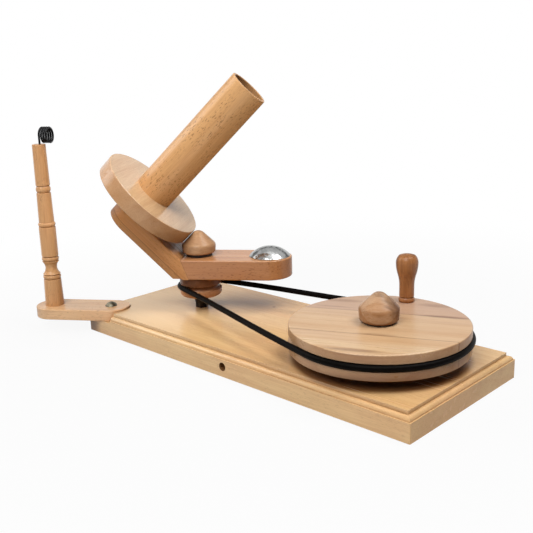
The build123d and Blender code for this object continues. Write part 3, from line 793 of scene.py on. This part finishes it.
@dataclass
class SubAssembly:
    """A group of CAD nodes that are dressed together.

    Attributes:
        finishes: The finish of each node.
    """

    finishes: dict[str, WoodFinish | PlainFinish] = field(default_factory=dict)

    def dress(self, made: dict[str, bpy.types.Material]) -> None:
        """Put every node's finish on it.

        Args:
            made: Materials made so far, by name; new ones are added.
        """
        for node, finish in self.finishes.items():
            if finish.name not in made:
                made[finish.name] = finish.material()
            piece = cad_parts[node]
            if not piece.material_slots:
                piece.data.materials.append(made[finish.name])
            for slot in piece.material_slots:
                slot.material = made[finish.name]
            LOG.info("dressed %s in %s", node, finish.name)


@dataclass
class BaseBoard(SubAssembly):
    """The moulded board with its axles, nuts and washers."""

    def __post_init__(self) -> None:
        """Choose the finishes."""
        board = WoodFinish(
            "base_wood", srgb(224, 187, 134), srgb(198, 151, 98), srgb(217, 169, 122),
            Grain.ALONG_BASE, heart=(0.03, -0.16), ring_gap=0.016,
            ring=0.16, streak=0.26, fleck=0.16, end_shade=0.16,
            # A knot, painted shade and shadows, a darker patch, then a painted sheen.
            marks=(
                Mark((-0.0568, 0.0511, BASE_TOP), (0.0060, 0.0050, 0.0050)),
                # Painted shade on the base under the wheel.
                Mark((0.1330, 0.0000, BASE_TOP), (0.1840, 0.1840, 0.0200), 0.93, 0.1),
                # Painted shade inside the clamp hole.
                Mark((0.0040, -0.0700, 0.0110), (0.0096, 0.3000, 0.0096), 0.9, 0.06),
                # Painted shadow of the guide plate on the base's left-front corner.
                Mark((-0.2300, -0.0925, 0.0060), (0.0440, 0.0340, 0.0440), 0.75),
                Mark((0.2100, 0.0400, BASE_TOP), (0.0900, 0.1600, 0.0600), 0.22, 0.9),
                # Painted shadow of the arm on the base's top behind the pulley.
                Mark((-0.0980, 0.0610, BASE_TOP), (0.1500, 0.0900, 0.0400), 0.42, 0.9),
                # Painted sheen on the base's top towards its left end.
                Mark((-0.1900, -0.0445, BASE_TOP), (0.3200, 0.2200, 0.0200), 0.8, 0.9, True),
            ),
            roughness=0.26, shine=0.62,
        )
        self.finishes = {
            "base_board": board,
            "wheel_axle": DARK_STEEL,
            "winder_axle": DARK_STEEL,
            "base_nuts": DARK_STEEL,
            "wheel_spacer": DARK_STEEL,
            "winder_spacer": DARK_STEEL,
            "axle_washers": ZINC,
            "guide_nut": ZINC,
            "knob_inserts": BRASS,
        }


@dataclass
class DriveWheel(SubAssembly):
    """The flat wheel with its handle, the two knobs and the belt.

    Attributes:
        centre: A point of the wheel's axis, in metres.
        front_seam: Distance from the axis to the front seam between its staves, in metres.
        back_seam: Distance from the axis to the back seam, in metres.
    """

    centre: Triple = (0.132, 0.0, 0.0)
    front_seam: float = 0.0385
    back_seam: float = 0.0292

    def __post_init__(self) -> None:
        """Choose the finishes."""
        cap = WoodFinish(
            "cap_wood", srgb(200, 169, 138), srgb(158, 112, 72), srgb(176, 126, 82),
            Grain.ALONG_ARM, heart=(0.03, -0.04), ring_gap=0.011,
            ring=0.4, streak=0.5, fleck=0.2, end_shade=0.2,
            # A dark flame down its front, then its right side, partly painted shade, its tip, and
            # painted shade at its foot.
            marks=(
                Mark((0.1366, -0.0036, 0.0880), (0.0150, 0.0060, 0.0160), 0.6, 0.8),
                Mark((0.1408, -0.0044, 0.0830), (0.0170, 0.0060, 0.0170), 0.6, 0.8),
                Mark((0.1470, -0.0066, 0.0778), (0.0160, 0.0056, 0.0160), 0.55, 0.8),
                # Darker right side: partly its own figure, partly painted shade.
                Mark((0.1490, 0.0040, 0.0790), (0.0310, 0.0310, 0.0440), 0.85, 0.9),
                Mark((0.1320, 0.0000, 0.0940), (0.0240, 0.0240, 0.0160), 0.5, 0.8),
                # Painted shade around the cap's foot.
                Mark((0.1320, 0.0000, 0.0640), (0.1200, 0.1200, 0.0100), 0.6, 0.9),
            ),
            shine=0.16,
        )
        knob = WoodFinish(
            "knob_wood", srgb(202, 161, 120), srgb(160, 116, 79), srgb(189, 139, 99),
            Grain.ALONG_ARM, heart=(0.06, -0.09), ring_gap=0.011,
            ring=0.22, streak=0.4, fleck=0.16, end_shade=0.25,
            # Painted shade on the knob's left side, next to the flange.
            marks=(Mark((-0.1420, -0.0120, 0.1030), (0.0260, 0.0260, 0.0500), 0.7, 0.9),),
        )
        handle = WoodFinish(
            "handle_wood", srgb(182, 124, 75), srgb(120, 73, 38), srgb(160, 98, 53),
            Grain.UPRIGHT, heart=(0.09, 0.05), ring_gap=0.009,
            ring=0.18, streak=0.5, fleck=0.25, roughness=0.34,
        )
        rubber = PlainFinish(
            "belt_rubber", srgb(8, 6, 5), srgb(15, 11, 9), metallic=0.0, roughness=0.4,
            spread=0.16, speckle=220.0, depth=0.00005, specular=0.03,
        )
        fibre = PlainFinish(
            "dark_washer", srgb(38, 28, 22), srgb(58, 44, 36), metallic=0.0, roughness=0.6,
            spread=0.2, speckle=260.0, depth=0.00005,
        )
        self.finishes = {
            "drive_wheel": self.wheel(),
            "wheel_cap_knob": cap,
            "friction_knob": knob,
            "crank_handle": handle,
            "drive_belt": rubber,
            "knob_washers": fibre,
            "wheel_bush": BRASS,
            "handle_pin": ZINC,
        }

    def wheel(self) -> WoodFinish:
        """The wheel's wood, in three staves.

        Returns:
            The finish.
        """
        across = Vector((-math.sin(STAVE_TURN), math.cos(STAVE_TURN), 0.0))
        middle = Vector(self.centre).dot(across)
        return WoodFinish(
            "wheel_wood", srgb(212, 183, 144), srgb(186, 145, 104), srgb(180, 147, 123),
            Grain.ALONG_STAVES, heart=(0.05, -0.12), ring_gap=0.019,
            ring=0.3, streak=0.4, fleck=0.12, end_shade=0.04,
            boards=(
                Board(middle - self.front_seam, tone=0.0, warmth=0.1),
                Board(middle + self.back_seam, tone=0.3, warmth=0.75),
            ),
            # Dark streaks in its top, then painted shade on its right side and along its lower lip.
            marks=(
                Mark((0.1575, -0.0775, WHEEL_TOP), (0.070, 0.010, 0.010), 0.5),
                Mark((0.1524, -0.0307, WHEEL_TOP), (0.060, 0.008, 0.008), 0.4),
                Mark((0.1730, 0.0510, WHEEL_TOP), (0.075, 0.010, 0.010), 0.6),
                Mark((0.0681, 0.0124, WHEEL_TOP), (0.060, 0.005, 0.005), 0.35),
                Mark((0.0600, 0.0330, WHEEL_TOP), (0.070, 0.014, 0.010), 0.4),
                Mark((0.1500, 0.0780, WHEEL_TOP), (0.060, 0.014, 0.010), 0.35),
                # Painted shade on the wheel's right side.
                Mark((0.2150, -0.0200, 0.042), (0.170, 0.170, 0.044), 0.3, 0.9),
                # Painted shade along the wheel's lower lip.
                Mark((0.1800, -0.0790, 0.033), (0.240, 0.100, 0.024), 0.85, 0.9),
            ),
            rim_shade=0.78, shine=0.45,
        )


@dataclass
class WinderHead(SubAssembly):
    """The pulley, the weighted arm and the tilted boards.

    Attributes:
        arm_top: Where the winder's axis meets the arm's top, in metres.
        fold_reach: Distance from that axis back to the mitre's upper edge, in metres.
        mitre_run: How far the mitre's normal leads along the arm.
        mitre_rise: How far it leads upwards.
        ply_depth: Depth of the glue line between the tilted boards, in metres.
    """

    arm_top: Triple = (-0.128, 0.0, 0.0902)
    fold_reach: float = 0.016
    mitre_run: float = 0.0232
    mitre_rise: float = 0.0085
    ply_depth: float = 0.0157

    def __post_init__(self) -> None:
        """Choose the finishes."""
        mitre, plies = self.joints()
        arm = WoodFinish(
            "arm_wood", srgb(197, 143, 95), srgb(169, 113, 70), srgb(188, 126, 81),
            Grain.ALONG_ARM, heart=(0.02, -0.03), ring_gap=0.011,
            ring=0.16, streak=0.4, fleck=0.5, glue_lines=(mitre,),
            rim_shade=0.3, roughness=0.26, shine=0.5,
        )
        head = WoodFinish(
            "head_wood", srgb(201, 145, 92), srgb(173, 116, 68), srgb(191, 129, 79),
            Grain.UP_HEAD, heart=(0.02, -0.1), ring_gap=0.011,
            ring=0.16, streak=0.4, fleck=0.35, glue_lines=(mitre, plies), shine=0.2,
        )
        backing = WoodFinish(
            "backing_wood", srgb(183, 132, 83), srgb(157, 105, 62), srgb(175, 115, 71),
            Grain.UP_HEAD, heart=(0.05, -0.2), ring_gap=0.010,
            ring=0.16, streak=0.4, fleck=0.35, glue_lines=(plies,), shine=0.2,
        )
        pulley = WoodFinish(
            "pulley_wood", srgb(200, 148, 108), srgb(165, 115, 78), srgb(188, 134, 96),
            Grain.ACROSS_ARM, heart=(0.03, -0.02), ring_gap=0.009,
            ring=0.18, streak=0.4, fleck=0.35,
            # Painted shadow of the arm on the pulley's upper cheek.
            marks=(Mark((-0.128, 0.0, 0.060), (0.4, 0.4, 0.020), 0.84, 0.3),),
        )
        chrome = PlainFinish(
            "chrome_weight", srgb(176, 177, 176), srgb(150, 151, 149), metallic=1.0, roughness=0.2,
            spread=0.1, speckle=80.0, depth=0.00002, dent_depth=0.0004,
        )
        self.finishes = {
            "winder_arm": arm,
            "tilt_board": head,
            "tilt_backing": backing,
            "winder_pulley": pulley,
            "counterweight": chrome,
            "winder_bush": BRASS,
            "pulley_screws": ZINC,
            "spindle_bolt": ZINC,
            "spindle_nut": ZINC,
            "spindle_washers": ZINC,
            "spindle_lock_nut": ZINC,
        }

    def joints(self) -> tuple[GlueLine, GlueLine]:
        """The visible joints of the arm and the tilted boards.

        Returns:
            The mitre to the arm, and the joint between the two tilted boards.
        """
        along = Vector(Grain.ALONG_ARM.value)
        square = Vector(Grain.ALONG_SPINDLE.value)
        fold = Vector(self.arm_top) - along * self.fold_reach
        across = along * self.mitre_run + Vector(UPWARD) * self.mitre_rise
        mitre = GlueLine(tuple(fold), tuple(across), half_width=0.00035, depth=0.4)
        below = fold - square * self.ply_depth
        return mitre, GlueLine(tuple(below), tuple(square), half_width=0.0005, depth=0.6)


@dataclass
class Spindle(SubAssembly):
    """The flange and the hollow tube that the yarn is wound on."""

    def __post_init__(self) -> None:
        """Choose the finishes."""
        flange = WoodFinish(
            "flange_wood", srgb(222, 188, 147), srgb(196, 154, 111), srgb(210, 170, 130),
            Grain.ACROSS_ARM, heart=(0.04, -0.2), ring_gap=0.02,
            ring=0.2, streak=0.4, fleck=0.14,
            rim_axis=Grain.ALONG_SPINDLE.value, rim_tint=(0.86, 0.64, 0.52), rim_shade=0.45,
            # Painted shade on the flange's lowest rim.
            marks=(Mark((-0.1313, -0.0308, 0.1106), (0.130, 0.070, 0.060), 0.6, 0.9),),
            roughness=0.15, shine=0.6,
        )
        tube = WoodFinish(
            "tube_wood", srgb(224, 175, 121), srgb(188, 137, 85), srgb(211, 152, 95),
            Grain.ALONG_SPINDLE, heart=(0.05, 0.03), ring_gap=0.012,
            ring=0.12, streak=0.3, fleck=0.6,
            # Painted shade inside the tube, then its foot.
            marks=(
                Mark((-0.1203, 0.0054, 0.2253), (2.0, 0.0414, 0.0414), 0.48, 0.03),
                Mark((-0.1600, -0.0250, 0.1720), (0.120, 0.080, 0.080), 0.14, 0.9),
            ),
        )
        self.finishes = {"flange_disc": flange, "spindle_tube": tube, "spindle_bush": BRASS}


@dataclass
class YarnGuide(SubAssembly):
    """The swinging plate, its turned post and the wire eye."""

    def __post_init__(self) -> None:
        """Choose the finishes."""
        plate = WoodFinish(
            "plate_wood", srgb(249, 209, 161), srgb(216, 168, 119), srgb(236, 182, 134),
            Grain.ALONG_GUIDE, heart=(0.02, -0.06), ring_gap=0.012,
            ring=0.18, streak=0.4, fleck=0.25,
            rim_shade=0.15, roughness=0.22, shine=0.62,
            # Small knots and nicks along its edge, then painted shade at its outer end.
            marks=(
                Mark((-0.2382, -0.0994, 0.0170), (0.0050, 0.0040, 0.0040)),
                Mark((-0.2255, -0.1200, 0.0291), (0.0034, 0.0026, 0.0026)),
                Mark((-0.2594, -0.1285, 0.0285), (0.0070, 0.0030, 0.0030), 0.5),
                Mark((-0.2074, -0.0949, 0.0285), (0.0070, 0.0030, 0.0030), 0.5),
                # Painted shade at the plate's outer end.
                Mark((-0.2860, -0.1400, 0.0291), (0.1100, 0.0900, 0.0900), 0.3, 0.9),
            ),
        )
        post = WoodFinish(
            "post_wood", srgb(221, 172, 121), srgb(187, 133, 83), srgb(212, 149, 99),
            Grain.UPRIGHT, heart=(0.31, 0.16), ring_gap=0.009,
            ring=0.16, streak=0.4, fleck=0.3,
        )
        wire = PlainFinish(
            "black_wire", srgb(12, 12, 14), srgb(24, 24, 27), metallic=0.0, roughness=0.34,
            spread=0.14, speckle=400.0, depth=0.00002, specular=0.15,
        )
        bolt = PlainFinish("pivot_bolt", srgb(138, 132, 114), srgb(88, 82, 68), 1.0, 0.55)
        self.finishes = {
            "guide_plate": plate,
            "guide_post": post,
            "yarn_eye": wire,
            "guide_pivot_bolt": bolt,
        }


@dataclass
class PhotoCamera:
    """The camera of the photograph, found from the object's own edges.

    Attributes:
        eye: Where it stands, in metres.
        right: Its right-hand direction.
        upward: Its upward direction.
        backward: The direction from the object to the camera.
        focal: Focal length in pixels of the photograph.
        photo_width: Width of the photograph in pixels.
        sensor: Width of the sensor in millimetres.
        farthest: How far it sees, in metres.
    """

    eye: Triple = (0.55781, -0.59786, 0.31377)
    right: Triple = (0.72543, 0.68765, -0.02979)
    upward: Triple = (-0.15553, 0.20592, 0.96613)
    backward: Triple = (0.67050, -0.69623, 0.25633)
    focal: float = 785.79
    photo_width: float = 533.0
    sensor: float = 36.0
    farthest: float = 40.0

    def place(self) -> bpy.types.Object:
        """Set the camera up.

        Returns:
            The camera.
        """
        lens = bpy.data.cameras.new("photo_camera")
        lens.sensor_width = self.sensor
        lens.lens = self.sensor * (self.focal / self.photo_width)
        lens.clip_end = self.farthest
        camera = bpy.data.objects.new("photo_camera", lens)
        bpy.context.scene.collection.objects.link(camera)
        turned = Matrix((self.right, self.upward, self.backward)).transposed().to_4x4()
        camera.matrix_world = Matrix.Translation(self.eye) @ turned
        bpy.context.scene.camera = camera
        return camera


class LampRole(Enum):
    """What a lamp is for."""

    KEY = "key_lamp"
    FILL = "fill_lamp"
    TOP = "top_lamp"


@dataclass(frozen=True)
class Lamp:
    """A soft round lamp.

    Attributes:
        role: What it is for.
        place: Where it hangs, in metres.
        size: Its width in metres.
        power: Its power in watts.
    """

    role: LampRole
    place: Triple
    size: float
    power: float

    def hang(self, target: Triple) -> bpy.types.Object:
        """Hang the lamp and point it at the object.

        Args:
            target: What it points at, in metres.

        Returns:
            The lamp.
        """
        light = bpy.data.lights.new(self.role.value, "AREA")
        light.shape = "DISK"
        light.size = self.size
        light.energy = self.power
        lamp = bpy.data.objects.new(self.role.value, light)
        bpy.context.scene.collection.objects.link(lamp)
        aim = (Vector(target) - Vector(self.place)).to_track_quat("-Z", "Y")
        lamp.matrix_world = Matrix.Translation(self.place) @ aim.to_matrix().to_4x4()
        LOG.info("hung %s", self.role.value)
        return lamp


@dataclass
class Studio:
    """White floor, white surroundings and soft lamps.

    Attributes:
        floor_size: Width of the floor in metres.
        floor_grey: How much of the lamps' light the floor gives back.
        shadow_near: Distance at which the floor starts to fade into the white, in metres.
        shadow_far: Distance at which it has faded, in metres.
        glow_near: How far the floor's colour comes from its own white near the object.
        ambient: Strength of the light from all round.
        sky: Height and grey of what gloss mirrors, from 0 at the horizon to 1 straight above.
        backdrop_way: Direction from the camera to the white backdrop.
        backdrop_edge: Where the room gives way to the backdrop, by how far that direction is faced.
        room: How bright the room behind the camera is in the gloss.
        target: What the lamps point at, in metres.
        lamps: The lamps.
    """

    floor_size: float = 12.0
    floor_grey: float = 0.5
    shadow_near: float = 0.25
    shadow_far: float = 0.8
    glow_near: float = 0.92
    ambient: float = 0.1
    sky: tuple[tuple[float, float], ...] = (
        (0.0, 1.0), (0.34, 1.0), (0.39, 0.1), (0.52, 0.15),
        (0.62, 0.95), (0.9, 0.8), (0.96, 1.8), (1.0, 1.9),
    )
    backdrop_way: Triple = (-0.67, 0.7, 0.0)
    backdrop_edge: tuple[float, float] = (-0.7, 0.4)
    room: float = 0.22
    target: Triple = (0.0, 0.0, 0.09)
    lamps: tuple[Lamp, ...] = (
        Lamp(LampRole.KEY, (0.4, -1.2, 1.6), 1.4, 31.5),
        Lamp(LampRole.FILL, (-1.5, -0.7, 1.1), 1.2, 10.5),
        Lamp(LampRole.TOP, (0.7, 0.4, 1.7), 1.0, 22.5),
    )

    def floor_material(self) -> bpy.types.Material:
        """Make the floor's white, which hides its far shadows from the eye and the gloss.

        Returns:
            The material.
        """
        sheet = MaterialSheet("white_floor")
        sheet.give("Base Color", (*(self.floor_grey,) * 3, 1.0))
        sheet.give("Roughness", 1.0)
        sheet.give("Specular IOR Level", 0.0)
        path = sheet.node("ShaderNodeLightPath").outputs
        mirrored = sheet.maths("ADD", path["Is Glossy Ray"], path["Is Transmission Ray"])
        seen = sheet.maths("ADD", path["Is Camera Ray"], mirrored, clamp=True)
        far = sheet.vector("LENGTH", sheet.object_place, number=True)
        white = sheet.step(far, self.shadow_near, self.shadow_far, self.glow_near, 1.0)
        mixed = sheet.node("ShaderNodeMixShader")
        sheet.join(sheet.maths("MULTIPLY", seen, white), mixed.inputs[0])
        sheet.join(sheet.surface.outputs["BSDF"], mixed.inputs[1])
        sheet.join(sheet.node("ShaderNodeEmission").outputs[0], mixed.inputs[2])
        sheet.join(mixed.outputs[0], sheet.output.inputs["Surface"])
        return sheet.material

    def floor(self) -> bpy.types.Object:
        """Lay the floor.

        Returns:
            The floor.
        """
        shape = bmesh.new()
        bmesh.ops.create_grid(shape, x_segments=1, y_segments=1, size=self.floor_size / 2)
        mesh = bpy.data.meshes.new("floor")
        shape.to_mesh(mesh)
        shape.free()
        floor = bpy.data.objects.new("floor", mesh)
        bpy.context.scene.collection.objects.link(floor)
        mesh.materials.append(self.floor_material())
        return floor

    def surroundings(self) -> None:
        """Make the world white to the eye, a studio to the gloss and soft as a light."""
        world = bpy.data.worlds.new("white_room")
        bpy.context.scene.world = world
        world.use_nodes = True
        sheet = NodeSheet(world.node_tree)
        path = sheet.node("ShaderNodeLightPath").outputs
        way = sheet.node("ShaderNodeTexCoord").outputs["Generated"]
        mirrored = sheet.maths("MAXIMUM", path["Is Glossy Ray"], path["Is Transmission Ray"])
        sky = sheet.ramp(sheet.part(way, 2), self.sky)
        behind = sheet.vector("DOT_PRODUCT", way, self.backdrop_way, number=True)
        room = sheet.step(behind, *self.backdrop_edge, self.room, 1.0)
        level = sheet.mix(mirrored, self.ambient, sheet.maths("MULTIPLY", sky, room))
        back = sheet.node("ShaderNodeBackground")
        back.inputs["Color"].default_value = (1.0, 1.0, 1.0, 1.0)
        sheet.join(sheet.mix(path["Is Camera Ray"], level, 1.0), back.inputs["Strength"])
        output = sheet.node("ShaderNodeOutputWorld")
        sheet.join(back.outputs[0], output.inputs["Surface"])

    def build(self) -> None:
        """Set up the floor, the surroundings and the lamps."""
        bpy.context.scene.view_settings.view_transform = "Standard"
        self.floor()
        self.surroundings()
        for lamp in self.lamps:
            lamp.hang(self.target)


def main() -> None:
    """Build the studio and dress every sub-assembly."""
    logging.basicConfig(level=logging.INFO)
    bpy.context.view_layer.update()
    made: dict[str, bpy.types.Material] = {}
    PhotoCamera().place()
    Studio().build()
    for group in (BaseBoard(), DriveWheel(), WinderHead(), Spindle(), YarnGuide()):
        group.dress(made)
        LOG.info("finished %s", type(group).__name__)


if __name__ == "__main__":
    main()
